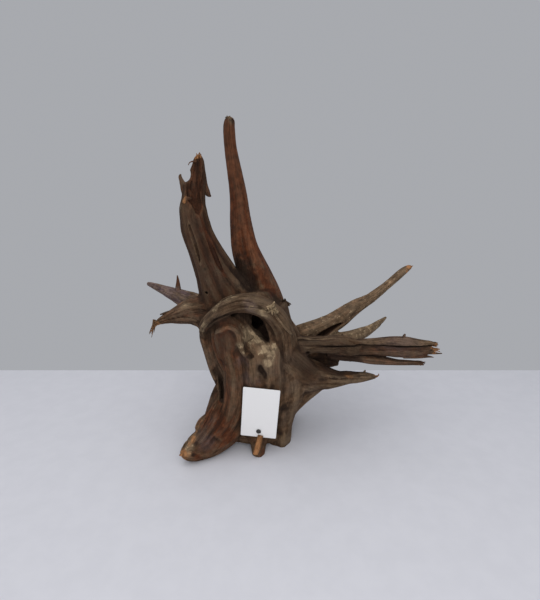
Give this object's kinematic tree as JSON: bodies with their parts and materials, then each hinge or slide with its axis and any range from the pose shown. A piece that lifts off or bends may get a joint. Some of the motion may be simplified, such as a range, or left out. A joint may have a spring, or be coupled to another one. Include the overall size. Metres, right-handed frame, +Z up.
{
  "type": "corbo driftwood root",
  "caption": "Gnarled driftwood root stump standing on its root feet, with a tall spike, a broken limb, side roots and a blank tag tacked to its front.",
  "frame": {"origin": "on the floor, at the middle of the box round the whole piece", "axes": "+Z up, -Y towards the front with the tag, +X towards the split root"},
  "size_m": [0.3476, 0.1728, 0.3511],
  "materials": {
    "weathered_wood": "dry, weathered, fibrous, reddish brown to grey-brown",
    "white_card": "smooth white card, bare",
    "dark_painted_steel": "dark lacquer"
  },
  "bodies": {
    "root": {"driftwood": "weathered_wood", "shop_tag": "white_card", "tag_tack": "dark_painted_steel"}
  },
  "joints": []
}
